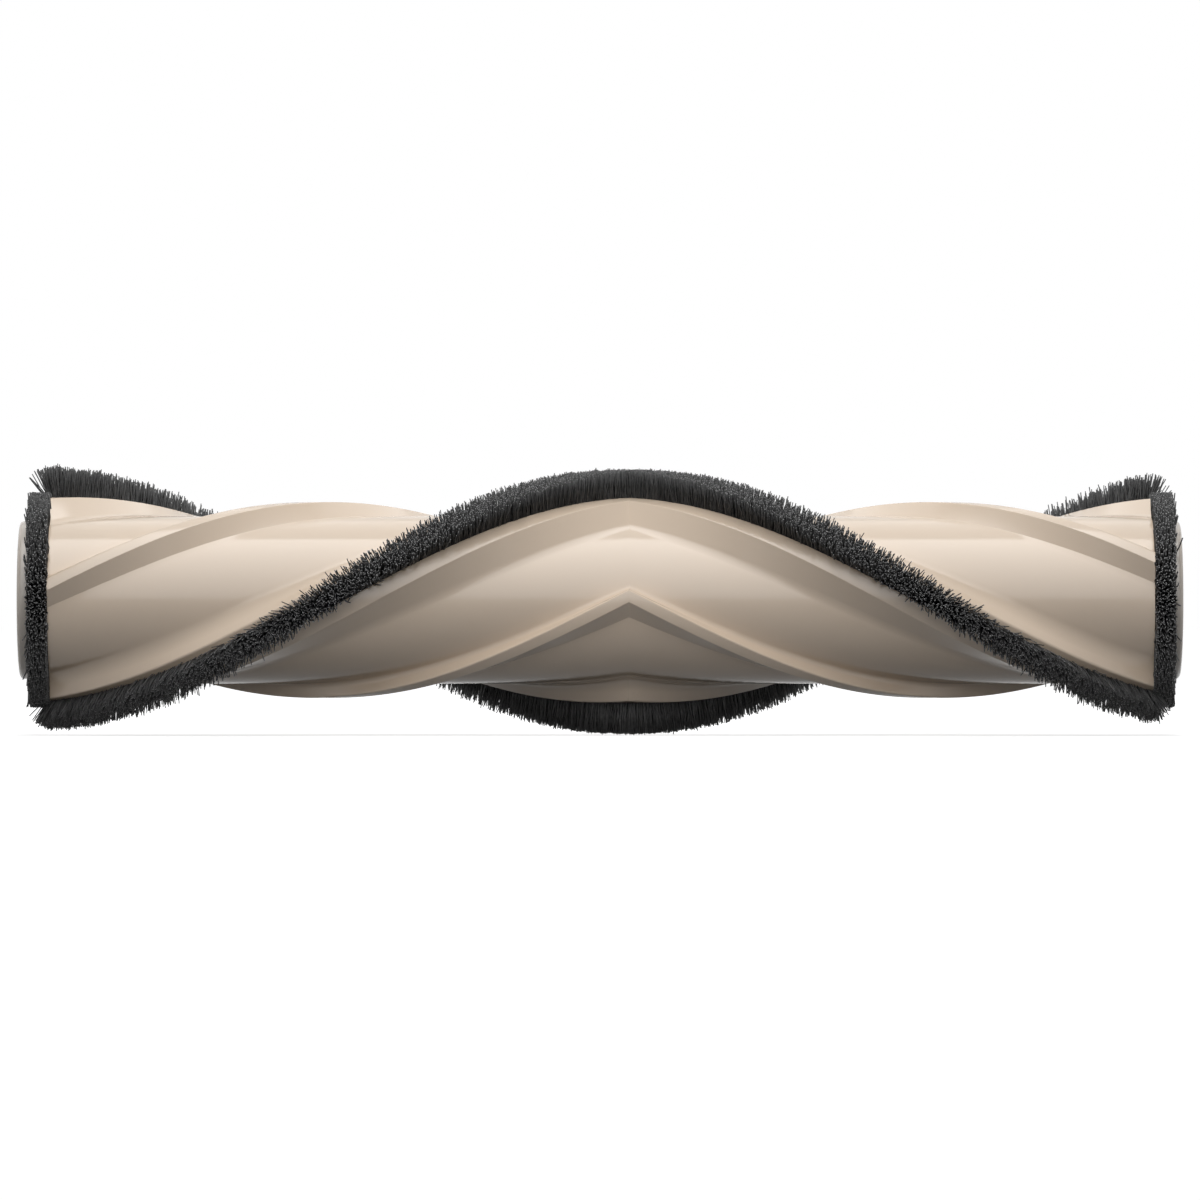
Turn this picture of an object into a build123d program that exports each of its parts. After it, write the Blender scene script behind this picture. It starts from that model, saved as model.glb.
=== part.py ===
import os
from math import cos, radians, sin

from build123d import *

os.makedirs("parts", exist_ok=True)

# Frame: X runs along the roller axis towards the idler end, Z is up, the origin is on the axis at mid-length.
# Angles of the cross-section are in degrees from the front (-Y) towards the top (+Z), at the chevron's point.
# Lengths are in mm.

# Whole roller
overall_length = 176.8
apex_offset = 4.4
helix_lead = 183.0

# Moulded tube and its ribs
core_radius = 12.75
tube_wall = 2.0
plain_rib_height = 2.2
plain_rib_angle = 2.55
plain_crest_half_angle = 3.75
plain_upper_spread = 1.5
plain_lower_spread = 9.5
plain_upper_fillet = 1.2
plain_lower_fillet = 0.3
strip_rib_height = 2.9
strip_angle = 89.5
strip_land_upper = 10.45
strip_land_lower = 14.7
strip_upper_spread = 8.5
strip_lower_spread = 15.6
strip_upper_fillet = 2.0
strip_lower_fillet = 3.0
crest_edge_radius = 0.3

# Slot in the strip ribs
slot_lip = 0.9
slot_mouth_width = 2.6
spine_width = 4.0
spine_thickness = 1.2
slot_clearance = 0.05

# Bristle strips
upper_row_tip_radius = 19.9
lower_row_tip_radius = 20.4
bristle_tip_width = 4.0
tip_crown = 0.15
pile_clearance = 0.1
flat_spot_depth = 0.25

# End rings
ring_gap = 3.2
ring_spine_thickness = 0.85
ring_tip_radius = 16.55
ring_clearance = 0.05
ring_pile_inset = 0.15

# End caps
disc_radius = 12.05
drive_disc_thickness = 1.5
idler_disc_thickness = 1.15
disc_edge_radius = 0.65
spigot_length = 12.0
spigot_wall = 1.8
spigot_clearance = 0.05
spigot_chamfer = 0.6
key_width = 3.0
key_height = 0.8
key_length = 9.0
web_count = 6
web_thickness = 1.2
boss_wall = 1.7

# Square drive socket
socket_size = 6.5
socket_depth = 9.0
socket_floor = 1.5
socket_chamfer = 0.6

# Ball bearing and its pocket
bearing_bore = 5.0
bearing_diameter = 11.0
bearing_width = 4.0
bearing_seat_clearance = 0.02
inner_ring_wall = 0.95
outer_ring_wall = 0.9
ball_diameter = 1.6
ball_count = 8
race_clearance = 0.03
cage_thickness = 0.76
cage_width = 2.3
pocket_clearance = 0.05
shield_thickness = 0.25
shield_seat = 0.25
shield_gap = 0.15
pin_relief_radius = 3.4
bearing_floor = 1.5

# Snap ring
snap_recess = 0.8
snap_thickness = 1.0
snap_width = 0.9
snap_groove_depth = 0.3
snap_clearance = 0.05
snap_opening = 50.0
snap_lug_radius = 0.75
snap_lug_hole_radius = 0.35

# Radii and stations that follow
plain_crest = core_radius + plain_rib_height
strip_crest = core_radius + strip_rib_height
bore_radius = core_radius - tube_wall
slot_roof = strip_crest - slot_lip
slot_floor = slot_roof - spine_thickness - 2 * slot_clearance
spine_bottom = slot_floor + slot_clearance
spine_top = spine_bottom + spine_thickness
half_length = overall_length / 2
disc_inner = {-1: half_length - drive_disc_thickness, 1: half_length - idler_disc_thickness}
body_end = {-1: disc_inner[-1] - ring_gap, 1: disc_inner[1] - ring_gap}
spigot_radius = bore_radius - spigot_clearance
ring_spine_bore = bore_radius
ring_pile_root = ring_spine_bore + ring_spine_thickness
spigot_end = {-1: body_end[-1] - spigot_length, 1: body_end[1] - spigot_length}
snap_face = half_length - snap_recess
bearing_face = snap_face - snap_thickness - 2 * snap_clearance
bearing_back = bearing_face - bearing_width
bearing_middle = bearing_face - bearing_width / 2
bearing_radius = bearing_diameter / 2
pocket_radius = bearing_radius + bearing_seat_clearance
bore_r = bearing_bore / 2
ball_radius = ball_diameter / 2
pitch_radius = (bearing_bore + bearing_diameter) / 4
inner_shoulder = bore_r + inner_ring_wall
outer_shoulder = bearing_radius - outer_ring_wall
shield_outer = outer_shoulder + shield_seat
floor_z = -(lower_row_tip_radius - flat_spot_depth)

ends = (("left", -1), ("right", 1))
rows = (("a", strip_angle, upper_row_tip_radius), ("b", strip_angle + 180, lower_row_tip_radius))
section_plane = Plane(origin=(apex_offset, 0, 0), x_dir=(0, -1, 0), z_dir=(-1, 0, 0))


def polar(radius, angle):
    """Point of the cross-section at a radius and an angle."""
    return (radius * cos(radians(angle)), radius * sin(radians(angle)))


def axis_run(sign):
    """Straight path from the chevron's point to the body's end."""
    with BuildLine() as run:
        Line((apex_offset, 0, 0), (sign * body_end[sign], 0, 0))
    return run.line


def twist_guide(sign):
    """Helix beside that path; the two halves turn in opposite senses."""
    length = body_end[sign] - sign * apex_offset
    with BuildLine() as guide:
        Helix(
            helix_lead,
            length,
            lower_row_tip_radius,
            center=(apex_offset, 0, 0),
            direction=(sign, 0, 0),
            lefthand=sign < 0,
        )
    return guide.edges()[0]


def rib_outline(crest, land_lower, land_upper, foot_lower, foot_upper):
    """Face of one rib between two feet sunk in the core and two edges of its land."""
    sunk = core_radius * cos(radians((foot_upper - foot_lower) / 2)) - 0.1
    middle = (land_lower + land_upper) / 2
    with BuildSketch() as rib:
        with BuildLine():
            Line(polar(sunk, foot_lower), polar(core_radius, foot_lower))
            Line(polar(core_radius, foot_lower), polar(crest, land_lower))
            ThreePointArc(polar(crest, land_lower), polar(crest, middle), polar(crest, land_upper))
            Line(polar(crest, land_upper), polar(core_radius, foot_upper))
            Line(polar(core_radius, foot_upper), polar(sunk, foot_upper))
            Line(polar(sunk, foot_upper), polar(sunk, foot_lower))
        make_face()
    return rib.sketch


def corner(outline, radius, angle):
    """Vertex of an outline nearest to a polar point."""
    return outline.vertices().sort_by_distance(polar(radius, angle))[0]


# Roller body: one moulded tube, four ribs twisted both ways from the chevron's point
with BuildSketch(section_plane) as rib_section:
    Circle(core_radius)
    for turn in (0, 180):
        plain = plain_rib_angle + turn
        plain_low = plain - plain_crest_half_angle
        plain_high = plain + plain_crest_half_angle
        strip = strip_angle + turn
        strip_low = strip - strip_land_lower
        strip_high = strip + strip_land_upper
        add(
            rib_outline(
                plain_crest,
                plain_low,
                plain_high,
                plain_low - plain_lower_spread,
                plain_high + plain_upper_spread,
            )
        )
        add(
            rib_outline(
                strip_crest,
                strip_low,
                strip_high,
                strip_low - strip_lower_spread,
                strip_high + strip_upper_spread,
            )
        )
    for turn in (0, 180):
        plain_low = plain_rib_angle + turn - plain_crest_half_angle
        plain_high = plain_rib_angle + turn + plain_crest_half_angle
        strip_low = strip_angle + turn - strip_land_lower
        strip_high = strip_angle + turn + strip_land_upper
        fillet(corner(rib_section, core_radius, plain_low - plain_lower_spread), plain_lower_fillet)
        fillet(corner(rib_section, core_radius, plain_high + plain_upper_spread), plain_upper_fillet)
        fillet(corner(rib_section, core_radius, strip_low - strip_lower_spread), strip_lower_fillet)
        fillet(corner(rib_section, core_radius, strip_high + strip_upper_spread), strip_upper_fillet)
        fillet(corner(rib_section, plain_crest, plain_high), crest_edge_radius)
        fillet(corner(rib_section, strip_crest, strip_high), crest_edge_radius)
    with PolarLocations(0, 2, start_angle=strip_angle):
        with Locations(((slot_floor + slot_roof) / 2, 0)):
            Rectangle(slot_roof - slot_floor, spine_width + 2 * slot_clearance, mode=Mode.SUBTRACT)
        with Locations((slot_roof + slot_lip, 0)):
            Rectangle(2 * slot_lip, slot_mouth_width, mode=Mode.SUBTRACT)

with BuildPart() as roller_body:
    for side, sign in ends:
        sweep(sections=rib_section.sketch, path=axis_run(sign), binormal=twist_guide(sign))
    with Locations(Location((0, 0, 0), (0, 90, 0))):
        Cylinder(bore_radius, overall_length, mode=Mode.SUBTRACT)
    for side, sign in ends:
        with Locations((sign * (body_end[sign] - key_length / 2), 0, 0)):
            Box(
                key_length + 2 * slot_clearance,
                2 * (bore_radius + key_height + slot_clearance),
                key_width + 2 * slot_clearance,
                mode=Mode.SUBTRACT,
            )
roller_body.part.label = "roller_body"
export_step(roller_body.part, "parts/roller_body.step")

# Bristle strips: a backing in each slot, and the row of filaments that stands on it
for row, angle, tip_radius in rows:
    for side, sign in ends:
        with BuildPart() as bristle_spine:
            with BuildSketch(section_plane) as backing:
                with PolarLocations(0, 1, start_angle=angle):
                    with Locations(((spine_bottom + spine_top) / 2, 0)):
                        Rectangle(spine_thickness, spine_width)
            sweep(path=axis_run(sign), binormal=twist_guide(sign))
        bristle_spine.part.label = f"bristle_spine_{row}_{side}"
        export_step(bristle_spine.part, f"parts/bristle_spine_{row}_{side}.step")

        root_half = slot_mouth_width / 2 - pile_clearance
        tip_half = bristle_tip_width / 2
        with BuildPart() as bristle_row:
            with BuildSketch(section_plane) as pile:
                with BuildLine(Location((0, 0, 0), (0, 0, angle))):
                    Polyline(
                        (tip_radius - tip_crown, -tip_half),
                        (strip_crest, -root_half),
                        (spine_top + slot_clearance, -root_half),
                        (spine_top + slot_clearance, root_half),
                        (strip_crest, root_half),
                        (tip_radius - tip_crown, tip_half),
                    )
                    ThreePointArc(
                        (tip_radius - tip_crown, -tip_half),
                        (tip_radius, 0),
                        (tip_radius - tip_crown, tip_half),
                    )
                make_face()
            sweep(path=axis_run(sign), binormal=twist_guide(sign))
            with Locations((0, 0, floor_z)):
                Box(
                    overall_length,
                    2 * tip_radius,
                    tip_radius,
                    align=(Align.CENTER, Align.CENTER, Align.MAX),
                    mode=Mode.SUBTRACT,
                )
        bristle_row.part.label = f"bristle_row_{row}_{side}"
        export_step(bristle_row.part, f"parts/bristle_row_{row}_{side}.step")

# End rings: a backing hoop on the cap's spigot and the short bristles around it
for side, sign in ends:
    hoop_near = sign * (body_end[sign] + ring_clearance)
    hoop_far = sign * (disc_inner[sign] - ring_clearance)
    with BuildPart() as end_ring_spine:
        with BuildSketch(Plane.XZ):
            with BuildLine():
                Polyline(
                    (hoop_near, ring_spine_bore),
                    (hoop_far, ring_spine_bore),
                    (hoop_far, ring_pile_root - ring_clearance),
                    (hoop_near, ring_pile_root - ring_clearance),
                    close=True,
                )
            make_face()
        revolve(axis=Axis.X)
    end_ring_spine.part.label = f"end_ring_spine_{side}"
    export_step(end_ring_spine.part, f"parts/end_ring_spine_{side}.step")

    pile_near = sign * (body_end[sign] + ring_pile_inset)
    pile_far = sign * (disc_inner[sign] - ring_pile_inset)
    with BuildPart() as end_ring_bristles:
        with BuildSketch(Plane.XZ):
            with BuildLine():
                Polyline(
                    (pile_near, ring_pile_root),
                    (pile_far, ring_pile_root),
                    (pile_far, disc_radius),
                    (sign * (disc_inner[sign] + ring_pile_inset), ring_tip_radius),
                    (pile_near, ring_tip_radius),
                    close=True,
                )
            make_face()
        revolve(axis=Axis.X)
    end_ring_bristles.part.label = f"end_ring_bristles_{side}"
    export_step(end_ring_bristles.part, f"parts/end_ring_bristles_{side}.step")

# End caps: disc, hub under the ring, spigot in the tube and a boss joined to the spigot by webs
socket_boss = socket_size / 2**0.5 + boss_wall
socket_end = half_length - socket_depth - socket_floor
bearing_boss = pocket_radius + boss_wall
bearing_end = bearing_back - bearing_floor


def cap_profile(sign, boss_radius, boss_end):
    """Turned section of a cap with a solid boss, in the half plane above the axis."""
    skirt = spigot_radius - spigot_wall
    with BuildSketch(Plane.XZ) as section:
        with BuildLine():
            Polyline(
                (sign * half_length, 0),
                (sign * half_length, disc_radius),
                (sign * disc_inner[sign], disc_radius),
                (sign * disc_inner[sign], spigot_radius),
                (sign * spigot_end[sign], spigot_radius),
                (sign * spigot_end[sign], skirt),
                (sign * disc_inner[sign], skirt),
                (sign * disc_inner[sign], boss_radius),
                (sign * boss_end, boss_radius),
                (sign * boss_end, 0),
                close=True,
            )
        make_face()
        outer = section.vertices().sort_by_distance((sign * half_length, disc_radius))[0]
        fillet(outer, disc_edge_radius)
        nose = section.vertices().sort_by_distance((sign * spigot_end[sign], spigot_radius))[0]
        chamfer(nose, spigot_chamfer)
    return section.sketch


def cap_webs(sign, boss_radius):
    """Section of the webs between a boss and the spigot."""
    skirt = spigot_radius - spigot_wall
    with BuildSketch(Plane.YZ.offset(sign * disc_inner[sign])) as webs:
        with PolarLocations((boss_radius + skirt) / 2, web_count):
            Rectangle(skirt - boss_radius + spigot_wall, web_thickness)
    return webs.sketch


def cap_keys(sign):
    """Section of the two keys that turn the tube with a cap."""
    with BuildSketch(Plane.YZ.offset(sign * body_end[sign])) as keys:
        with PolarLocations(bore_radius, 2):
            Rectangle(2 * key_height, key_width)
    return keys.sketch


with BuildPart() as drive_cap:
    revolve(cap_profile(-1, socket_boss, socket_end), axis=Axis.X)
    extrude(cap_webs(-1, socket_boss), amount=disc_inner[-1] - socket_end)
    extrude(cap_keys(-1), amount=key_length)
    with BuildSketch(Plane.YZ.offset(-half_length)):
        Rectangle(socket_size, socket_size)
    extrude(amount=socket_depth, mode=Mode.SUBTRACT)
    mouth = drive_cap.edges().filter_by_position(Axis.X, -half_length - 0.01, -half_length + 0.01)
    chamfer(mouth.filter_by(GeomType.LINE), socket_chamfer)
drive_cap.part.label = "drive_cap"
export_step(drive_cap.part, "parts/drive_cap.step")

with BuildPart() as bearing_cap:
    revolve(cap_profile(1, bearing_boss, bearing_end), axis=Axis.X)
    extrude(cap_webs(1, bearing_boss), amount=bearing_end - disc_inner[1])
    extrude(cap_keys(1), amount=-key_length)
    with BuildSketch(Plane.XZ):
        with BuildLine():
            Polyline(
                (half_length, 0),
                (half_length, pocket_radius + snap_clearance),
                (snap_face, pocket_radius + snap_clearance),
                (snap_face, pocket_radius + snap_groove_depth),
                (bearing_face, pocket_radius + snap_groove_depth),
                (bearing_face, pocket_radius),
                (bearing_back, pocket_radius),
                (bearing_back, pin_relief_radius),
                (bearing_end, pin_relief_radius),
                (bearing_end, 0),
                close=True,
            )
        make_face()
    revolve(axis=Axis.X, mode=Mode.SUBTRACT)
bearing_cap.part.label = "bearing_cap"
export_step(bearing_cap.part, "parts/bearing_cap.step")

# Snap ring: an open ring with two eyes, in the groove before the bearing
snap_outer = pocket_radius + snap_groove_depth - snap_clearance
snap_inner = pocket_radius - snap_width
with BuildPart() as retaining_ring:
    with BuildSketch(Plane.YZ.offset(snap_face - snap_clearance)):
        Circle(snap_outer)
        Circle(snap_inner, mode=Mode.SUBTRACT)
        with BuildLine():
            Polyline(
                (0, 0),
                polar(2 * snap_outer, 90 - snap_opening / 2),
                polar(2 * snap_outer, 90 + snap_opening / 2),
                close=True,
            )
        make_face(mode=Mode.SUBTRACT)
        eyes = [polar(snap_inner, 90 - snap_opening / 2), polar(snap_inner, 90 + snap_opening / 2)]
        with Locations(*eyes):
            Circle(snap_lug_radius)
        with Locations(*eyes):
            Circle(snap_lug_hole_radius, mode=Mode.SUBTRACT)
    extrude(amount=-snap_thickness)
retaining_ring.part.label = "retaining_ring"
export_step(retaining_ring.part, "parts/retaining_ring.step")

# Ball bearing
raceway = Location((bearing_middle, 0, 0), (0, 90, 0))
ball_circle = Plane.YZ.offset(bearing_middle)

with BuildPart() as bearing_outer_ring:
    with BuildSketch(Plane.XZ):
        with BuildLine():
            Polyline(
                (bearing_back, bearing_radius),
                (bearing_face, bearing_radius),
                (bearing_face, shield_outer),
                (bearing_face - shield_thickness, shield_outer),
                (bearing_face - shield_thickness, outer_shoulder),
                (bearing_back + shield_thickness, outer_shoulder),
                (bearing_back + shield_thickness, shield_outer),
                (bearing_back, shield_outer),
                close=True,
            )
        make_face()
    revolve(axis=Axis.X)
    with Locations(raceway):
        Torus(pitch_radius, ball_radius + race_clearance, mode=Mode.SUBTRACT)
bearing_outer_ring.part.label = "bearing_outer_ring"
export_step(bearing_outer_ring.part, "parts/bearing_outer_ring.step")

with BuildPart() as bearing_inner_ring:
    with Locations(raceway):
        Cylinder(inner_shoulder, bearing_width)
        Cylinder(bore_r, bearing_width, mode=Mode.SUBTRACT)
        Torus(pitch_radius, ball_radius + race_clearance, mode=Mode.SUBTRACT)
bearing_inner_ring.part.label = "bearing_inner_ring"
export_step(bearing_inner_ring.part, "parts/bearing_inner_ring.step")

with BuildPart() as bearing_cage:
    with Locations(raceway):
        Cylinder(pitch_radius + cage_thickness / 2, cage_width)
        Cylinder(pitch_radius - cage_thickness / 2, cage_width, mode=Mode.SUBTRACT)
    with Locations(ball_circle):
        with PolarLocations(pitch_radius, ball_count):
            Cylinder(
                ball_radius + pocket_clearance,
                2 * cage_thickness,
                rotation=(0, 90, 0),
                mode=Mode.SUBTRACT,
            )
bearing_cage.part.label = "bearing_cage"
export_step(bearing_cage.part, "parts/bearing_cage.step")

with BuildPart() as bearing_balls:
    with Locations(ball_circle):
        with PolarLocations(pitch_radius, ball_count):
            Sphere(ball_radius)
bearing_balls.part.label = "bearing_balls"
export_step(bearing_balls.part, "parts/bearing_balls.step")

for shield, station in (
    ("inboard", bearing_back + shield_thickness / 2),
    ("outboard", bearing_face - shield_thickness / 2),
):
    with BuildPart() as bearing_shield:
        with Locations(Location((station, 0, 0), (0, 90, 0))):
            Cylinder(shield_outer - race_clearance, shield_thickness - race_clearance)
            Cylinder(inner_shoulder + shield_gap, shield_thickness, mode=Mode.SUBTRACT)
    bearing_shield.part.label = f"bearing_shield_{shield}"
    export_step(bearing_shield.part, f"parts/bearing_shield_{shield}.step")
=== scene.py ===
import math
import random

import bmesh
import bpy
from bpy.props import FloatProperty, FloatVectorProperty, IntProperty, PointerProperty
from bpy.types import Operator, Panel, PropertyGroup
from mathutils import Matrix, Vector


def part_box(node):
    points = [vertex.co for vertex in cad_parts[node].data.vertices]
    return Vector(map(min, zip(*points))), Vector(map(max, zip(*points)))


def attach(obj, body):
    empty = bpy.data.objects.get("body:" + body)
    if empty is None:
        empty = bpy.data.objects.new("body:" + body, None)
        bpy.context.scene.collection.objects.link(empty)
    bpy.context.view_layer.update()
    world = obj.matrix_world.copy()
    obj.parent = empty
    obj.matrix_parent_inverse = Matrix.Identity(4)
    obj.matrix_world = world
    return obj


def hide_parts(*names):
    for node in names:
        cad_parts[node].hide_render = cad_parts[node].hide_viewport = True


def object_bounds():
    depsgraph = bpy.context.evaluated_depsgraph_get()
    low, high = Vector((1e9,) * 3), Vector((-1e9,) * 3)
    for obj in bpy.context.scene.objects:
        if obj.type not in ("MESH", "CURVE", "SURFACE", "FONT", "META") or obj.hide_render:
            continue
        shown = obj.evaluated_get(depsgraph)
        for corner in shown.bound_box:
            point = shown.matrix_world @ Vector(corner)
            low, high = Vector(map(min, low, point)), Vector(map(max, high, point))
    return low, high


bl_info = {
    "name": "Vacuum roller brush",
    "version": (1, 0, 0),
    "blender": (4, 5, 0),
    "location": "3D View > Sidebar > Roller brush",
    "description": "Dresses the packed roller brush: ribbed body, bristles, caps, bearing and stage",
    "category": "Object",
}

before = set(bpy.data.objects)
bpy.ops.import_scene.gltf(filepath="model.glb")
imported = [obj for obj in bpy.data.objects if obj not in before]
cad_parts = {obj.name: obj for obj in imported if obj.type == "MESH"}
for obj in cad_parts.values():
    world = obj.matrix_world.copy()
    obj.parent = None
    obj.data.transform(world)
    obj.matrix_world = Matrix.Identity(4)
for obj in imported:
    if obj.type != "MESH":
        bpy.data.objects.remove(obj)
CAD_BOX = [[float(c) for c in corner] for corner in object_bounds()]
BODY_LOW, BODY_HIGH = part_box("roller_body")
FLOOR_Z = CAD_BOX[0][2]
MM = 0.001

# Outline of the ribbed shell: steps and gaps in degrees, rounded corners in mm
ARC_STEP = 2.4
FOOT_GAP = 4.5
CREST_GAP = 2
MOUTH_GAP = 1
PLAIN_LOWER_FOOT = 0.06
PLAIN_LOWER_EDGE = 0.1
PLAIN_UPPER_EDGE = 0.3
PLAIN_UPPER_FOOT = 0.7
STRIP_LOWER_FOOT = 0.9
STRIP_LOWER_EDGE = 0.1
STRIP_UPPER_EDGE = 0.3
STRIP_UPPER_FOOT = 1.6
MOUTH_EDGE = 0.08

# Mesh of the ribbed shell: edges sharper than the angle in degrees stay sharp, distances in metres
ROUND_SEGMENTS = 4
BORE_SEGMENTS = 128
SHARP_ANGLE = 28
WELD = 2e-6
SAME_PLACE = 1e-6

# One filament: its rings are (height, thickness, value of "along", which drives the painted shade
# towards the root), its bow is in mm
FILAMENT_KINDS = 18
FILAMENT_SIDES = 3
FILAMENT_RINGS = ((0.55, 1.0, 0.5), (1.0, 0.9, 1.0))
FILAMENT_BOW = 0.12
DARKEST_TONE = 0.5
# painted highlight: how pale each cut end is painted, for the light that catches the tips
CUT_END_HIGHLIGHT = (0.05, 1.0)

# Scatter of the filaments in a row: lengths in mm, the rest are shares
TUFT_PITCH = (0.5, 1.6)  # of the mean pitch
TIGHT = 0.2  # part of the scatter that is left at the chevron's point
EASE_RUN = 40  # run from the point over which lean and fan come in
TRIM = 0.1
TUFT_TRIM = 0.14
WORN = 0.2
PROUD_SHARE = 0.03  # filaments that stand out of the trim
PROUD = (0.1, 0.5)
FAN_SHARE = (0.2, 1.0)
SWAY = 0.2  # around the axis
TUFT_SWAY = 0.12
DRIFT = 0.45  # along the row
TUFT_DRIFT = 0.14
GATHER = 0.35  # of the way to the middle of the tuft
OUTWARD = 1.0  # drift of the upper edge away from the point
POINT_RUN = 5  # run from the point over which leaning tips shift along the row
END_RUN = 5  # run before the row's end over which filaments splay
END_SPLAY = (0.6, 2.2)
LEAST_REACH = 0.5  # of a filament's squared length that stays upright

# Scatter of the filaments in an end ring: lengths in mm, the rest are shares
RING_CROWD = 1.15  # more filaments around the ring than its spacing gives
RING_INSET = 0.1  # from both faces of the backing
RING_TRIM = 0.24
RING_FLARE = 0.25
RING_DRIFT = 0.13  # along the axis
RING_SWAY = 0.2  # around the axis
STRAY_FROM = 0.85  # of the ring's width, outside which filaments stray
STRAY_SHARE = 0.04
STRAY = (0.2, 0.7)

# Finishes: grain sizes and depths in mm
PLASTIC_IOR = 1.53
ABS_ROUGHNESS = 0.15
CLOUD_SIZE = 22
CLOUD_TONE = 0.97
PEEL_SIZE = 1.6
PEEL_DEPTH = 0.05
PEEL_STRENGTH = 0.03
NYLON_ROUGHNESS = 0.4
NYLON_SPECULAR = 0.25
# painted shade: filaments are darker towards the root, for the shade deep in the row
PAINTED_ROOT_SHADE = 0.75
MOTTLE_SIZE = 0.5
MOTTLE_NOISE = (0.3, 0.7)
MOTTLE_TONE = (0.75, 1.25)
GRIND_SIZE = 0.35
GRIND_SPREAD = (0.8, 1.2)
DULL_SIZE = 0.8
DULL_ROUGHNESS = (0.5, 0.7)

# Stage: lengths in metres, levels where 1 is white
FLOOR_SIZE = 6.0
FLOOR_BOUNCE = "#626262"
FLOOR_PALE = "#c8c8c8"
FLOOR_FADE = (0.06, 0.6)  # distances over which the floor turns white
# painted shade: in reflections the floor's glow under the roller is dimmed, on top of its real
# shadow
FLOOR_MIRRORED = 0.44  # level under the roller in a reflection
FLOOR_SEEN = 0.72  # level under the roller to the camera
SOFTBOX_FADE = 0.95  # part of the softbox over which its radiance rises
FILL_SIZE = 1.0
FILL_PLACE = (0.8, 0.25, 0.15)
SENSOR = 36.0  # mm
CLIP_END = 100.0

# Settings that several nodes share
RGBA = {"data_type": "RGBA"}
MULTIPLY = {"operation": "MULTIPLY"}
MAXIMUM = {"operation": "MAXIMUM"}
WHITE = (1, 1, 1, 1)


def linear(hex_colour):
    """Linear RGBA of an sRGB hex colour."""
    channels = [int(hex_colour[i:i + 2], 16) / 255 for i in (1, 3, 5)]
    return [c / 12.92 if c <= 0.04045 else ((c + 0.055) / 1.055) ** 2.4 for c in channels] + [1.0]


def length(name, description, default):
    """A size of the part in metres, given here in millimetres."""
    return FloatProperty(
        name=name,
        description=description,
        default=default * MM,
        unit="LENGTH",
        subtype="DISTANCE",
    )


def metres(name, description, default):
    """A size of the stage in metres."""
    return FloatProperty(name=name, description=description, default=default, unit="LENGTH")


def angle(name, description, default):
    """An angle, given here in degrees."""
    return FloatProperty(
        name=name,
        description=description,
        default=math.radians(default),
        unit="ROTATION",
        subtype="ANGLE",
    )


def strength(name, description, default):
    """A strength of light."""
    return FloatProperty(name=name, description=description, default=default, min=0)


def colour(name, description, default):
    """A colour, given here as sRGB hex."""
    return FloatVectorProperty(
        name=name,
        description=description,
        default=linear(default),
        size=4,
        subtype="COLOR",
        min=0,
        max=1,
    )


class RollerBodySettings(PropertyGroup):
    """Sizes of the moulded tube and its chevron ribs"""

    apex: length("Chevron point", "Distance of the chevron's point from mid-length", 4.4)
    lead: length("Helix lead", "Axial length of one full turn of a rib", 183.0)
    core: length("Core radius", "Radius of the tube between the ribs", 12.75)
    bore: length("Bore radius", "Inner radius of the tube", 10.75)
    plain_crest: length("Plain rib radius", "Radius at the land of a plain rib", 14.95)
    strip_crest: length("Strip rib radius", "Radius at the land of a rib with bristles", 15.65)
    plain_angle: angle("Plain rib angle", "Middle of a plain rib at the chevron's point", 2.55)
    plain_half: angle("Plain land half angle", "Half of a plain rib's land", 3.75)
    plain_upper: angle("Plain upper flank", "Spread of the upper flank", 0.5)
    plain_lower: angle("Plain lower flank", "Spread of the lower flank", 10.6)
    strip_angle: angle("Strip angle", "Middle of a bristle strip at the chevron's point", 89.5)
    land_upper: angle("Upper land", "Land above the strip's middle", 10.45)
    land_lower: angle("Lower land", "Land below the strip's middle", 14.7)
    strip_upper: angle("Strip upper flank", "Spread of the upper flank", 6.5)
    strip_lower: angle("Strip lower flank", "Spread of the lower flank", 15.6)
    mouth: length("Slot mouth", "Width of the slot that the bristles stand in", 2.6)
    mouth_floor: length("Slot floor radius", "Radius of the backing's outer face", 14.7)
    step: length("Step along the axis", "Distance between the rings of the shell's mesh", 1.4)
    plastic: colour("Plastic", "Colour of the moulded tube", "#d8c5b0")
    cap_plastic: colour("Cap plastic", "Colour of the moulded end discs", "#cfc5ba")


class BristleSettings(PropertyGroup):
    """Filaments of the strips and of the end rings"""

    root: length("Strip root radius", "Radius at which the strip's filaments start", 14.72)
    tip_a: length("Upper row tip radius", "Radius at which the upper row is trimmed", 19.85)
    tip_b: length("Lower row tip radius", "Radius at which the lower row is trimmed", 20.4)
    root_width: length("Strip root width", "Width of a strip in its slot, around the axis", 2.3)
    tip_width: length("Strip tip width", "Width of a strip at its tips, around the axis", 3.4)
    fan: length("Fan", "Extra lean of the outermost filaments of a strip", 0.75)
    lean: length("Lean", "Mean lean of a strip's tips around the axis", 0.55)
    tuft: length("Tuft pitch", "Mean distance between the tufts of leaning filaments", 0.36)
    ring_root: length("Ring root radius", "Radius at which a ring's filaments start", 11.5)
    ring_tip: length("Ring tip radius", "Radius at which a ring's filaments are trimmed", 16.5)
    diameter: length("Filament diameter", "Thickness of one nylon filament in a strip", 0.19)
    ring_diameter: length("Ring filament diameter", "Thickness of a filament in a ring", 0.25)
    spacing: length("Filament spacing", "Mean distance between filaments in a strip", 0.175)
    ring_spacing: length("Ring spacing", "Mean distance between filaments in a ring", 0.29)
    seed: IntProperty(name="Seed", description="Seed of the filaments' scatter", default=11, min=0)
    dark: colour("Dark filament", "Colour of the darkest filaments", "#141414")
    light: colour("Light filament", "Colour of the palest filaments", "#585858")
    # painted highlight: the pale colour painted on the cut ends, for the light on the tips
    cut: colour("Cut ends", "Colour of the filaments' cut ends", "#bcbcbc")


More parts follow.
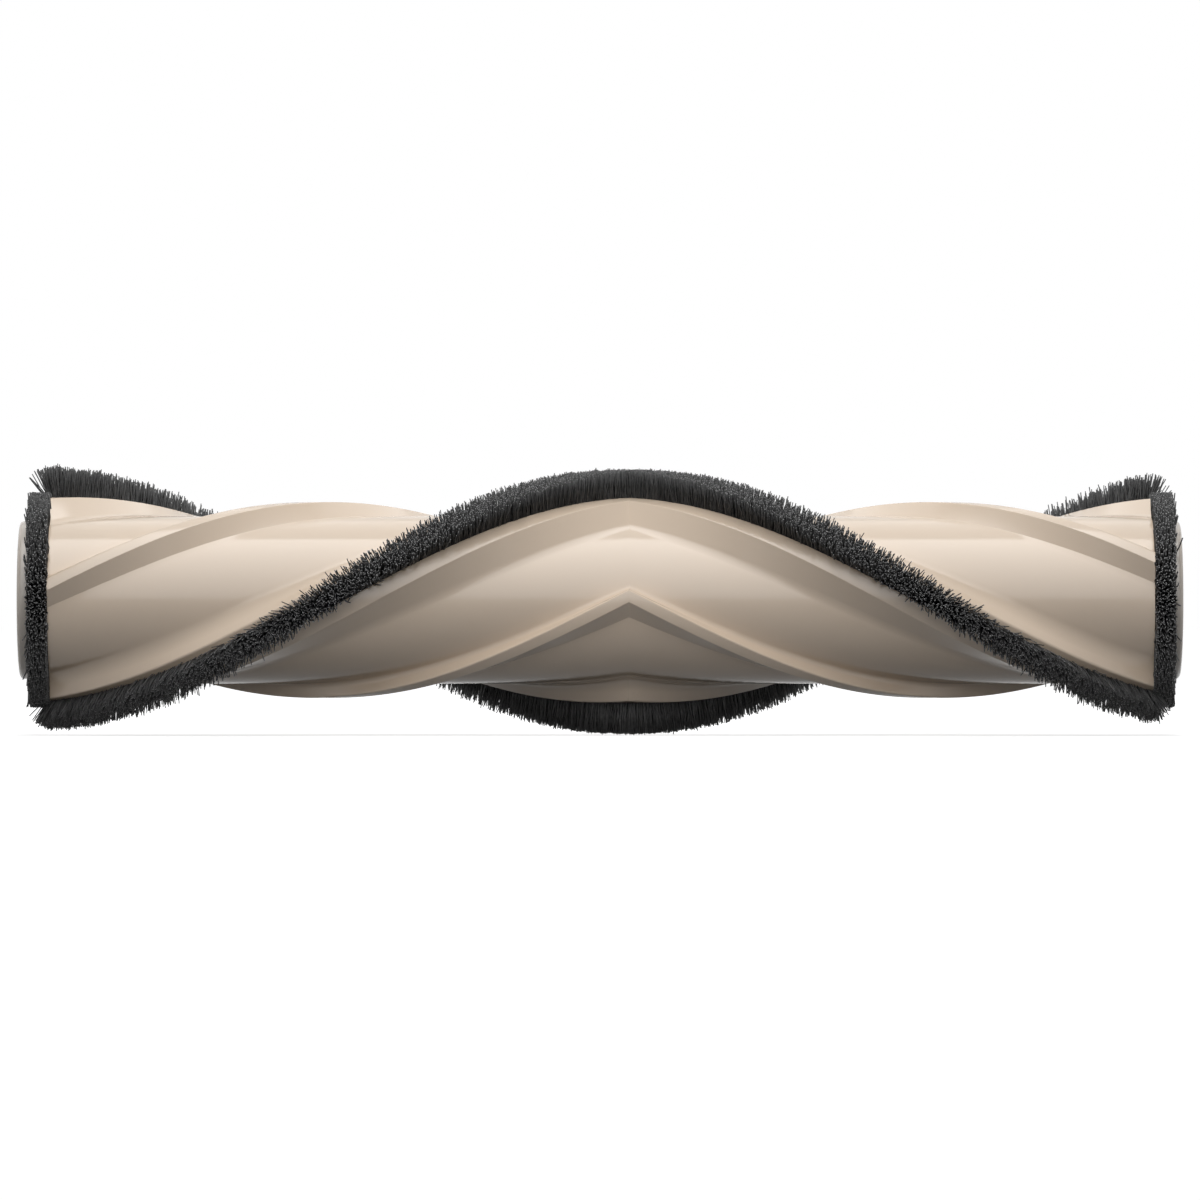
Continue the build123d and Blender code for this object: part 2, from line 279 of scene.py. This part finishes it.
class StageSettings(PropertyGroup):
    """Floor, lamps and camera; elevations are seen from the roller"""

    distance: metres("Camera distance", "From the roller axis", 1.75)
    field: metres("Field width", "Width of the view at the axis", 0.183)
    near: angle("Softbox near edge", "Elevation of the softbox's front edge", 1.6)
    far: angle("Softbox far edge", "Elevation of the softbox's upper edge", 92.0)
    reach: metres("Softbox reach", "Distance of the softboxes' edges from the roller", 0.6)
    wide: metres("Softbox width", "Along the roller", 0.27)
    faint: strength("Front strength", "Radiance at the front edge", 1.75)
    bright: strength("Upper strength", "Radiance at the upper edge", 4.55)
    rear_far: angle("Rear box far edge", "Elevation of the rear softbox's far edge", 140.0)
    rear_wide: metres("Rear box width", "Along the roller", 0.45)
    rear: strength("Rear strength", "Radiance of the softbox behind the top", 0.85)
    fill: strength("Fill strength", "Radiance of the two fill lamps beside the roller", 1.25)
    ambient: strength("Ambient", "Strength of the surrounding light", 0.02)
    sag: length("Sag", "Depth of the lowest filament tips under the rows' flat spot", 0.5)


def node(tree, kind, settings=(), **inputs):
    """Adds a node: settings are its attributes, inputs are values or sockets.

    An input is given by its name or, as _3, by its number.
    """
    made = tree.nodes.new(kind)
    for name, value in dict(settings).items():
        setattr(made, name, value)
    for name, value in inputs.items():
        key = int(name[1:]) if name[0] == "_" else name.replace("_", " ")
        if isinstance(value, bpy.types.NodeSocket):
            tree.links.new(value, made.inputs[key])
        else:
            made.inputs[key].default_value = value
    return made


def new_material(name):
    """A node material with a Principled shader; returns material, tree and shader."""
    made = bpy.data.materials.new(name)
    made.use_nodes = True
    return made, made.node_tree, made.node_tree.nodes["Principled BSDF"]


def moulded_abs(name, plastic):
    """Moulded ABS from a polished tool: smooth, half glossy, with a faint orange peel."""
    made, tree, shader = new_material(name)
    place = node(tree, "ShaderNodeTexCoord").outputs["Object"]
    cloud = node(tree, "ShaderNodeTexNoise", Vector=place, Scale=1 / (CLOUD_SIZE * MM), Detail=2.0)
    darker = [c * CLOUD_TONE for c in plastic[:3]] + [1.0]
    tint = node(tree, "ShaderNodeMix", RGBA, _0=cloud.outputs["Fac"], _6=darker, _7=list(plastic))
    tree.links.new(tint.outputs[2], shader.inputs["Base Color"])
    peel = node(tree, "ShaderNodeTexNoise", Vector=place, Scale=1 / (PEEL_SIZE * MM), Detail=1.0)
    bump = node(
        tree,
        "ShaderNodeBump",
        Strength=PEEL_STRENGTH,
        Distance=PEEL_DEPTH * MM,
        Height=peel.outputs["Fac"],
    )
    tree.links.new(bump.outputs["Normal"], shader.inputs["Normal"])
    shader.inputs["Roughness"].default_value = ABS_ROUGHNESS
    shader.inputs["IOR"].default_value = PLASTIC_IOR
    return made


def nylon_filament(name, dark, light, cut):
    """Extruded nylon: dark, with painted shade towards the roots, cut ends painted pale as a
    highlight, and a tone for each filament.
    """
    made, tree, shader = new_material(name)
    along, tone, end = (
        node(tree, "ShaderNodeAttribute", {"attribute_name": layer}).outputs["Fac"]
        for layer in ("along", "tone", "cut")
    )
    place = node(tree, "ShaderNodeTexCoord").outputs["Object"]
    grain = node(tree, "ShaderNodeTexNoise", Vector=place, Scale=1 / (MOTTLE_SIZE * MM), Detail=2.0)
    mottle = node(
        tree,
        "ShaderNodeMapRange",
        Value=grain.outputs["Fac"],
        From_Min=MOTTLE_NOISE[0],
        From_Max=MOTTLE_NOISE[1],
        To_Min=MOTTLE_TONE[0],
        To_Max=MOTTLE_TONE[1],
    )
    # painted shade: the colour darkens from tip to root, standing in for the shade deep in the row
    base = node(tree, "ShaderNodeMapRange", Value=along, To_Min=PAINTED_ROOT_SHADE, To_Max=1.0)
    root_shade_and_tone = node(tree, "ShaderNodeMath", MULTIPLY, _0=base.outputs[0], _1=tone)
    patch = node(tree, "ShaderNodeMath", MULTIPLY, _0=root_shade_and_tone.outputs[0], _1=mottle.outputs[0])
    side = node(tree, "ShaderNodeMix", RGBA, _0=patch.outputs[0], _6=list(dark), _7=list(light))
    # painted highlight: the cut ends are painted pale
    tint = node(tree, "ShaderNodeMix", RGBA, _0=end, _6=side.outputs[2], _7=list(cut))
    tree.links.new(tint.outputs[2], shader.inputs["Base Color"])
    shader.inputs["Roughness"].default_value = NYLON_ROUGHNESS
    shader.inputs["IOR"].default_value = PLASTIC_IOR
    shader.inputs["Specular IOR Level"].default_value = NYLON_SPECULAR
    return made


def mottled(name, tint, grain_size, low, high):
    """A material whose roughness wanders from low to high; returns material and shader."""
    made, tree, shader = new_material(name)
    place = node(tree, "ShaderNodeTexCoord").outputs["Object"]
    grain = node(tree, "ShaderNodeTexNoise", Vector=place, Scale=1 / (grain_size * MM), Detail=2.0)
    rough = node(tree, "ShaderNodeMapRange", Value=grain.outputs["Fac"], To_Min=low, To_Max=high)
    tree.links.new(rough.outputs[0], shader.inputs["Roughness"])
    shader.inputs["Base Color"].default_value = tint
    return made, shader


def bearing_steel(name, tint, roughness):
    """Ground steel: a mirror blurred by fine grinding marks."""
    low, high = (roughness * share for share in GRIND_SPREAD)
    made, shader = mottled(name, tint, GRIND_SIZE, low, high)
    shader.inputs["Metallic"].default_value = 1.0
    return made


def dull_plastic(name, tint):
    """Moulded or extruded plastic of the hidden fittings: dull, without a clear highlight."""
    return mottled(name, tint, DULL_SIZE, *DULL_ROUGHNESS)[0]


def place_piece(bm, name, material, body, sharp_angle):
    """Makes a bmesh an object in the row frame that rides on a body."""
    mesh = bpy.data.meshes.new(name)
    bm.to_mesh(mesh)
    bm.free()
    mesh.materials.append(material)
    mesh.shade_smooth()
    if sharp_angle:
        mesh.set_sharp_from_angle(angle=math.radians(sharp_angle))
    piece = bpy.data.objects.new(name, mesh)
    bpy.context.scene.collection.objects.link(piece)
    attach(piece, body)
    return piece


def dress(names, material):
    """Gives CAD nodes a material."""
    for name in names:
        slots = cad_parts[name].data.materials
        slots.clear()
        slots.append(material)


def section_point(radius, at, x):
    """Point of a cross-section: the angle runs from the front (-Y) to the top (+Z)."""
    return Vector((x, -radius * math.cos(at), radius * math.sin(at)))


def swing(bm, geom, turn, steps, shift=0.0):
    """Spins geometry about the roller axis towards the top, with a shift along it at each step."""
    return bmesh.ops.spin(
        bm,
        geom=geom,
        cent=(0, 0, 0),
        axis=(-1, 0, 0),
        dvec=(shift, 0, 0),
        angle=turn,
        steps=steps,
        use_merge=False,
        use_normal_flip=False,
        use_duplicate=False,
    )["geom_last"]


def rib_outline(bm, s):
    """Wire outline of the ribbed section at the chevron's point: arcs spun, corners bevelled."""
    fine = math.radians(ARC_STEP)
    foot = math.radians(FOOT_GAP)
    crest = math.radians(CREST_GAP)
    lip = math.radians(MOUTH_GAP)
    mouth_top = math.asin(s.mouth / 2 / s.strip_crest)
    mouth_low = math.asin(s.mouth / 2 / s.mouth_floor)
    rounds = []
    chain = []

    def corner(radius, at, cut=0.0):
        vert = bm.verts.new(section_point(radius, at, s.apex))
        chain.append(vert)
        if cut:
            rounds.append((vert, cut * MM))

    def land(radius, start, end):
        steps = max(1, round((end - start) / fine))
        vert = bm.verts.new(section_point(radius, start, s.apex))
        chain.append(vert)
        geom = [vert]
        for _ in range(steps):
            geom = swing(bm, geom, (end - start) / steps, 1)
            chain.append(next(g for g in geom if isinstance(g, bmesh.types.BMVert)))

    for turn in (0.0, math.pi):
        low = s.plain_angle + turn - s.plain_half
        high = s.plain_angle + turn + s.plain_half
        strip = s.strip_angle + turn
        strip_low = strip - s.land_lower
        strip_high = strip + s.land_upper
        next_foot = low + math.pi - s.plain_lower
        corner(s.core, low - s.plain_lower, PLAIN_LOWER_FOOT)
        corner(s.plain_crest, low, PLAIN_LOWER_EDGE)
        corner(s.plain_crest, high, PLAIN_UPPER_EDGE)
        corner(s.core, high + s.plain_upper, PLAIN_UPPER_FOOT)
        land(s.core, high + s.plain_upper + foot, strip_low - s.strip_lower - foot)
        corner(s.core, strip_low - s.strip_lower, STRIP_LOWER_FOOT)
        corner(s.strip_crest, strip_low, STRIP_LOWER_EDGE)
        land(s.strip_crest, strip_low + crest, strip - mouth_top - lip)
        corner(s.strip_crest, strip - mouth_top, MOUTH_EDGE)
        corner(s.mouth_floor, strip - mouth_low)
        corner(s.mouth_floor, strip + mouth_low)
        corner(s.strip_crest, strip + mouth_top, MOUTH_EDGE)
        land(s.strip_crest, strip + mouth_top + lip, strip_high - crest)
        corner(s.strip_crest, strip_high, STRIP_UPPER_EDGE)
        corner(s.core, strip_high + s.strip_upper, STRIP_UPPER_FOOT)
        land(s.core, strip_high + s.strip_upper + 2 * foot, next_foot - foot)
    for first, second in zip(chain, chain[1:] + chain[:1]):
        if not any(e.other_vert(first) is second for e in first.link_edges):
            bm.edges.new((first, second))
    for vert, cut in rounds:
        bmesh.ops.bevel(
            bm,
            geom=[vert],
            offset=cut,
            offset_type="OFFSET",
            segments=ROUND_SEGMENTS,
            profile=0.5,
            affect="VERTICES",
            material=-1,
        )
    return list(bm.edges)


class BRUSH_OT_roller_body(Operator):
    """Ribbed tube, screwed both ways from the chevron's point"""

    bl_idname = "brush.roller_body"
    bl_label = "Roller body"

    def execute(self, context):
        s = context.scene.roller_body
        bm = bmesh.new()
        wire = rib_outline(bm, s)
        if any(len(v.link_edges) != 2 for v in bm.verts):
            raise RuntimeError("the rib outline isn't one closed loop")
        halves = []
        for end in (BODY_LOW.x, BODY_HIGH.x):
            run = end - s.apex
            steps = round(abs(run) / s.step)
            copy = bmesh.ops.duplicate(bm, geom=wire)["geom"]
            edges = [g for g in copy if isinstance(g, bmesh.types.BMEdge)]
            verts = list({v for e in edges for v in e.verts})
            turn = -math.tau * abs(run) / s.lead
            last = swing(bm, verts + edges, turn, steps, run / steps)
            halves.append([g for g in last if isinstance(g, bmesh.types.BMEdge)])
        bmesh.ops.delete(bm, geom=wire, context="EDGES")
        for end, rim in zip((BODY_LOW.x, BODY_HIGH.x), halves):
            turned = Matrix.Translation((end, 0, 0)) @ Matrix.Rotation(math.pi / 2, 4, "Y")
            bore = bmesh.ops.create_circle(
                bm, segments=BORE_SEGMENTS, radius=s.bore, matrix=turned
            )["verts"]
            ring = list({e for v in bore for e in v.link_edges})
            bmesh.ops.bridge_loops(bm, edges=rim + ring)

        def at_end(edge):
            x = edge.verts[0].co.x
            return max(x - BODY_HIGH.x, BODY_LOW.x - x) > -SAME_PLACE

        rims = [e for e in bm.edges if len(e.link_faces) == 1 and at_end(e)]
        bmesh.ops.bridge_loops(bm, edges=rims)
        bmesh.ops.remove_doubles(bm, verts=bm.verts, dist=WELD)
        bmesh.ops.recalc_face_normals(bm, faces=bm.faces)
        if any(len(e.link_faces) != 2 for e in bm.edges):
            raise RuntimeError("the ribbed body isn't closed")
        plastic = moulded_abs("moulded_abs_beige", s.plastic)
        piece = place_piece(
            bm, "ribbed_roller_body", plastic, "roller", SHARP_ANGLE
        )
        verts = piece.data.vertices
        for edge in piece.data.edges:
            if all(abs(verts[v].co.x - s.apex) < SAME_PLACE for v in edge.vertices):
                edge.use_edge_sharp = True
        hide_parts("roller_body")
        dress(["drive_cap", "bearing_cap"], moulded_abs("moulded_abs_pale", s.cap_plastic))
        return {"FINISHED"}


def filament_kinds(diameter, rng):
    """Unit filaments along +Z, each with a bow, a taper, a tone and a cut end of its own, painted
    pale to its own degree as a highlight.
    """
    kinds = []
    for index in range(FILAMENT_KINDS):
        bm = bmesh.new()
        tone = bm.verts.layers.float.new("tone")
        along = bm.verts.layers.float.new("along")
        bm.faces.layers.float.new("cut")
        shade = DARKEST_TONE + (1 - DARKEST_TONE) * (index + 0.5) / FILAMENT_KINDS
        bow = Vector((rng.gauss(0, FILAMENT_BOW), rng.gauss(0, FILAMENT_BOW), 0)) * MM
        root = bmesh.ops.create_circle(bm, segments=FILAMENT_SIDES, radius=diameter / 2)["verts"]
        for v in root:
            v[tone] = shade
        edges = list(bm.edges)
        for height, thin, level in FILAMENT_RINGS:
            grown = bmesh.ops.extrude_edge_only(bm, edges=edges)["geom"]
            edges = [g for g in grown if isinstance(g, bmesh.types.BMEdge)]
            ring = [g for g in grown if isinstance(g, bmesh.types.BMVert)]
            for v in ring:
                v.co.z = height
                v[tone] = shade
                v[along] = level
            middle = sum((v.co for v in ring), Vector()) / FILAMENT_SIDES
            for v in ring:
                v.co = middle + (v.co - middle) * thin
        kinds.append((bm, edges, bow))
    meshes = []
    for index, (bm, edges, bow) in enumerate(kinds):
        for face in bmesh.ops.contextual_create(bm, geom=edges)["faces"]:
            # painted highlight: each cut end gets its own share of the pale colour
            face[bm.faces.layers.float["cut"]] = rng.uniform(*CUT_END_HIGHLIGHT)
        for v in bm.verts:
            v.co += bow * 4 * v.co.z * (1 - v.co.z)
        bmesh.ops.recalc_face_normals(bm, faces=bm.faces)
        mesh = bpy.data.meshes.new(f"filament_{index}")
        bm.to_mesh(mesh)
        bm.free()
        meshes.append(mesh)
    return meshes


def plant(bm, kinds, rng, root, tip):
    """Adds one filament from its root to its tip, with a random kind and roll."""
    reach = tip - root
    turn = reach.to_track_quat("Z", "Y").to_matrix().to_4x4()
    roll = Matrix.Rotation(rng.uniform(0, math.tau), 4, "Z")
    stretch = Matrix.Diagonal((1, 1, reach.length, 1))
    move = Matrix.Translation(root) @ turn @ roll @ stretch
    mesh = rng.choice(kinds)
    mesh.transform(move)
    bm.from_mesh(mesh)
    mesh.transform(move.inverted())


def lay_tufts(run, mean, rng):
    """Tufts along a row: end, pitch, and the tuft's part in the length, the sway and the drift."""
    tufts = []
    reached = 0.0
    while reached < run:
        pitch = mean * rng.uniform(*TUFT_PITCH)
        reached += pitch
        tufts.append((reached, pitch, rng.gauss(0, 1), rng.gauss(0, 1), rng.gauss(0, 1)))
    return tufts


def filament_scatter(s, rng, trim, run, d, w, tuft):
    """Length of a filament, and the lean of its tip around the axis and along the row.

    d is the distance from the chevron's point and w the place across the strip. The scatter
    grows from the point to the row's end, where the last filaments splay outwards.
    """
    end_at, pitch, tall, aside, onward = tuft
    loose = TIGHT + (1 - TIGHT) * d / run
    ease = min(1.0, d / (EASE_RUN * MM))
    ragged = rng.gauss(0, TRIM) + tall * TUFT_TRIM * loose - abs(rng.gauss(0, WORN)) * loose
    high = trim - s.root + ragged * MM
    if rng.random() < PROUD_SHARE:
        high += rng.uniform(*PROUD) * loose * MM
    fan = (2 * w) ** 3 * rng.uniform(*FAN_SHARE) * s.fan * (TIGHT + (1 - TIGHT) * ease)
    spread = s.lean * ease + w * (s.tip_width - s.root_width) + fan
    spread += (rng.gauss(0, SWAY * (1 + ease)) + aside * TUFT_SWAY * loose) * MM
    along = (rng.gauss(0, DRIFT) + onward * TUFT_DRIFT * loose) * MM
    along += (end_at - pitch / 2 - d) * GATHER * loose
    along += max(0.0, 2 * w) * OUTWARD * loose * MM
    close = max(0.0, 1 - (run - d) / (END_RUN * MM))
    along += close ** 2 * rng.uniform(*END_SPLAY) * MM
    return high, spread, along


class BRUSH_OT_bristle_rows(Operator):
    """Helical rows of nylon filaments on the strip ribs"""

    bl_idname = "brush.bristle_rows"
    bl_label = "Bristle rows"

    def grow(self, body, s, rng, base, trim, sign, end):
        """Filaments of one half row, from the chevron's point to one end."""
        kinds = filament_kinds(s.diameter, rng)
        bm = bmesh.new()
        run = abs(end - body.apex)
        twist = math.tau / body.lead
        slope = math.atan(twist * s.root)
        across = max(2, round(s.root_width * math.cos(slope) / s.spacing))
        down = round(run / math.cos(slope) / s.spacing)
        tufts = lay_tufts(run, s.tuft, rng)
        for i in range(down):
            for j in range(across):
                d = rng.uniform(i / down * run, (i + 1) / down * run)
                w = (j + rng.uniform(0, 1)) / across - 0.5
                tuft = next(t for t in tufts if t[0] >= d)
                high, spread, along = filament_scatter(s, rng, trim, run, d, w, tuft)
                radial = max(LEAST_REACH * high ** 2, high ** 2 - spread ** 2 - along ** 2)
                reach = s.root + math.sqrt(radial)
                lean = spread * math.cos(slope) - along * math.sin(slope)
                slant = spread * math.sin(slope) * min(1.0, d / (POINT_RUN * MM))
                shift = along * math.cos(slope) + slant
                at = base - twist * d + w * s.root_width / s.root
                root = section_point(s.root, at, body.apex + sign * d)
                tip = section_point(reach, at + lean / reach, body.apex + sign * (d + shift))
                plant(bm, kinds, rng, root, tip)
        return bm

    def execute(self, context):
        body = context.scene.roller_body
        s = context.scene.bristles
        nylon = nylon_filament("black_nylon_filament", s.dark, s.light, s.cut)
        rows = (("a", body.strip_angle, s.tip_a), ("b", body.strip_angle + math.pi, s.tip_b))
        sides = (("left", -1, BODY_LOW.x), ("right", 1, BODY_HIGH.x))
        for row, base, trim in rows:
            for side, sign, end in sides:
                rng = random.Random(f"{s.seed}{row}{side}")
                bm = self.grow(body, s, rng, base, trim, sign, end)
                name = f"bristles_{row}_{side}"
                piece = place_piece(bm, name, nylon, "roller", 0)
                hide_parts(f"bristle_row_{row}_{side}")
        return {"FINISHED"}


class BRUSH_OT_end_rings(Operator):
    """Short trimmed bristle rings beside the end discs"""

    bl_idname = "brush.end_rings"
    bl_label = "End rings"

    def grow(self, s, rng, near, far, sign):
        """Filaments of one ring, between the faces of its backing."""
        kinds = filament_kinds(s.ring_diameter, rng)
        bm = bmesh.new()
        inset = RING_INSET * MM
        across = round((far - near) / s.ring_spacing)
        around = round(math.tau * s.ring_root / s.ring_spacing * RING_CROWD)
        for i in range(around):
            for j in range(across):
                at = (i + rng.uniform(0, 1)) / around * math.tau
                w = (j + rng.uniform(0, 1)) / across
                x = near + inset + w * (far - near - 2 * inset)
                reach = s.ring_tip - abs(rng.gauss(0, RING_TRIM)) * MM
                shift = (w - 0.5) * RING_FLARE * MM + rng.gauss(0, RING_DRIFT) * MM
                if w > STRAY_FROM and rng.random() < STRAY_SHARE:
                    shift += rng.uniform(*STRAY) * MM
                turn = rng.gauss(0, RING_SWAY) * MM / reach
                root = section_point(s.ring_root, at, sign * x)
                tip = section_point(reach, at + turn, sign * (x + shift))
                plant(bm, kinds, rng, root, tip)
        return bm

    def execute(self, context):
        s = context.scene.bristles
        nylon = bpy.data.materials["black_nylon_filament"]
        for side, sign in (("left", -1), ("right", 1)):
            rng = random.Random(f"{s.seed}ring{side}")
            low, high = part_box(f"end_ring_spine_{side}")
            near, far = sorted((abs(low.x), abs(high.x)))
            bm = self.grow(s, rng, near, far, sign)
            name = f"ring_bristles_{side}"
            piece = place_piece(bm, name, nylon, "roller", 0)
            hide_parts(f"end_ring_bristles_{side}")
        return {"FINISHED"}


class BRUSH_OT_fittings(Operator):
    """Finishes of the backings, the bearing and the snap ring"""

    bl_idname = "brush.fittings"
    bl_label = "Fittings"

    def execute(self, context):
        backing = dull_plastic("extruded_polypropylene_black", linear("#1a1a1a"))
        steel = bearing_steel("ground_bearing_steel", linear("#c4c6c8"), roughness=0.25)
        spring = bearing_steel("blackened_spring_steel", linear("#4a4a4c"), roughness=0.4)
        cage = dull_plastic("moulded_nylon_cage", linear("#d8d2c0"))
        names = list(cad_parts)
        plastic = ("bearing_cap", "bearing_cage")
        dress([n for n in names if "spine" in n], backing)
        dress([n for n in names if n.startswith("bearing_") and n not in plastic], steel)
        dress(["bearing_cage"], cage)
        dress(["retaining_ring"], spring)
        return {"FINISHED"}


def backdrop_rays(tree):
    """Light path, and whether its ray shows the backdrop: seen, mirrored or through glass."""
    path = node(tree, "ShaderNodeLightPath").outputs
    seen = path["Is Camera Ray"]
    for kind in ("Is Glossy Ray", "Is Transmission Ray"):
        seen = node(tree, "ShaderNodeMath", MAXIMUM, _0=seen, _1=path[kind]).outputs[0]
    return path, seen


def pale_floor():
    """Pale floor: white far off and greyer near the roller, so that its shadow shows.

    To the light that it throws back it is a dull grey, which keeps the roller's underside dark.
    In reflections its glow near the roller is dimmer still, a painted shade on top of its real
    shadow.
    """
    paper = bpy.data.materials.new("pale_floor")
    paper.use_nodes = True
    tree = paper.node_tree
    tree.nodes.clear()
    path, seen = backdrop_rays(tree)
    dull = node(tree, "ShaderNodeBsdfDiffuse", Color=linear(FLOOR_BOUNCE))
    pale = node(tree, "ShaderNodeBsdfDiffuse", Color=linear(FLOOR_PALE))
    place = node(tree, "ShaderNodeTexCoord").outputs["Object"]
    away = node(tree, "ShaderNodeVectorMath", {"operation": "LENGTH"}, _0=place).outputs["Value"]
    close = node(
        tree,
        "ShaderNodeMapRange",
        Value=path["Is Camera Ray"],
        To_Min=FLOOR_MIRRORED,
        To_Max=FLOOR_SEEN,
    )
    rise = node(
        tree,
        "ShaderNodeMapRange",
        Value=away,
        From_Min=FLOOR_FADE[0],
        From_Max=FLOOR_FADE[1],
        To_Min=close.outputs[0],
        To_Max=1.0,
    )
    glow = node(tree, "ShaderNodeEmission", Color=WHITE, Strength=rise.outputs[0])
    both = node(tree, "ShaderNodeAddShader", _0=pale.outputs[0], _1=glow.outputs[0])
    mix = node(tree, "ShaderNodeMixShader", _0=seen, _1=dull.outputs[0], _2=both.outputs[0])
    node(tree, "ShaderNodeOutputMaterial", Surface=mix.outputs[0])
    return paper


def studio(ambient):
    """World that shows white and gives the roller only a little light."""
    world = bpy.data.worlds.new("studio")
    world.use_nodes = True
    tree = world.node_tree
    tree.nodes.clear()
    seen = backdrop_rays(tree)[1]
    level = node(tree, "ShaderNodeMapRange", Value=seen, To_Min=ambient, To_Max=1.0)
    back = node(tree, "ShaderNodeBackground", Color=WHITE, Strength=level.outputs[0])
    node(tree, "ShaderNodeOutputWorld", Surface=back.outputs[0])
    return world


def hang_lamp(lamp, place):
    """Adds a lamp that points at the roller; returns its object."""
    holder = bpy.data.objects.new(lamp.name, lamp)
    holder.location = place
    holder.rotation_euler = (-holder.location).to_track_quat("-Z", "Y").to_euler()
    bpy.context.scene.collection.objects.link(holder)
    return holder


def softbox(name, edges, wide, low, high):
    """Lamp between two edges whose radiance rises smoothly from low to high."""
    lamp = bpy.data.lights.new(name, "AREA")
    lamp.shape = "RECTANGLE"
    lamp.size = wide
    lamp.size_y = (edges[1] - edges[0]).length
    lamp.energy = math.pi * lamp.size * lamp.size_y
    lamp.use_nodes = True
    tree = lamp.node_tree
    place = node(tree, "ShaderNodeNewGeometry").outputs["Parametric"]
    up = node(tree, "ShaderNodeSeparateXYZ", Vector=place).outputs["Y"]
    level = node(
        tree,
        "ShaderNodeMapRange",
        {"interpolation_type": "SMOOTHSTEP"},
        Value=up,
        From_Max=SOFTBOX_FADE,
        To_Min=low,
        To_Max=high,
    )
    tree.links.new(level.outputs[0], tree.nodes["Emission"].inputs["Strength"])
    hang_lamp(lamp, (edges[0] + edges[1]) / 2)


class BRUSH_OT_stage(Operator):
    """Pale floor, softboxes, fill lamps and the camera"""

    bl_idname = "brush.stage"
    bl_label = "Stage"

    def execute(self, context):
        s = context.scene.stage
        scene = context.scene
        scene.view_settings.view_transform = "Standard"
        bm = bmesh.new()
        level = Matrix.Translation((0, 0, FLOOR_Z - s.sag))
        bmesh.ops.create_grid(bm, x_segments=1, y_segments=1, size=FLOOR_SIZE, matrix=level)
        mesh = bpy.data.meshes.new("floor")
        bm.to_mesh(mesh)
        bm.free()
        mesh.materials.append(pale_floor())
        floor = bpy.data.objects.new("floor", mesh)
        scene.collection.objects.link(floor)
        scene.world = studio(s.ambient)

        near, far, rear = (
            Vector((0, -math.cos(a), math.sin(a))) * s.reach for a in (s.near, s.far, s.rear_far)
        )
        softbox("softbox", (near, far), s.wide, s.faint, s.bright)
        softbox("rear_softbox", (far, rear), s.rear_wide, s.rear, s.rear)
        for side in (-1, 1):
            lamp = bpy.data.lights.new("fill", "AREA")
            lamp.size = FILL_SIZE
            lamp.energy = s.fill * math.pi * lamp.size ** 2
            x, y, z = FILL_PLACE
            hang_lamp(lamp, (side * x, y, z)).visible_glossy = False

        lens = bpy.data.cameras.new("camera")
        lens.sensor_width = SENSOR
        lens.lens = SENSOR * s.distance / s.field
        lens.clip_end = CLIP_END
        holder = bpy.data.objects.new("camera", lens)
        holder.location = (0.0, -s.distance, 0.0)
        holder.rotation_euler = (math.pi / 2, 0, 0)
        scene.collection.objects.link(holder)
        scene.camera = holder
        return {"FINISHED"}


class VIEW3D_PT_roller_brush(Panel):
    """Buttons that dress the roller brush"""

    bl_label = "Roller brush"
    bl_idname = "VIEW3D_PT_roller_brush"
    bl_space_type = "VIEW_3D"
    bl_region_type = "UI"
    bl_category = "Roller brush"

    def draw(self, context):
        for step in STEPS:
            self.layout.operator(step.bl_idname)
        for name, group in GROUPS:
            settings = getattr(context.scene, name)
            box = self.layout.box()
            for prop in group.__annotations__:
                box.prop(settings, prop)


GROUPS = (
    ("roller_body", RollerBodySettings),
    ("bristles", BristleSettings),
    ("stage", StageSettings),
)
STEPS = (
    BRUSH_OT_roller_body,
    BRUSH_OT_bristle_rows,
    BRUSH_OT_end_rings,
    BRUSH_OT_fittings,
    BRUSH_OT_stage,
)


def register():
    for name, group in GROUPS:
        bpy.utils.register_class(group)
        setattr(bpy.types.Scene, name, PointerProperty(type=group))
    for step in STEPS + (VIEW3D_PT_roller_brush,):
        bpy.utils.register_class(step)


def unregister():
    for step in reversed(STEPS + (VIEW3D_PT_roller_brush,)):
        bpy.utils.unregister_class(step)
    for name, group in reversed(GROUPS):
        delattr(bpy.types.Scene, name)
        bpy.utils.unregister_class(group)


def main():
    register()
    for step in STEPS:
        family, name = step.bl_idname.split(".")
        getattr(getattr(bpy.ops, family), name)()


if __name__ == "__main__":
    main()
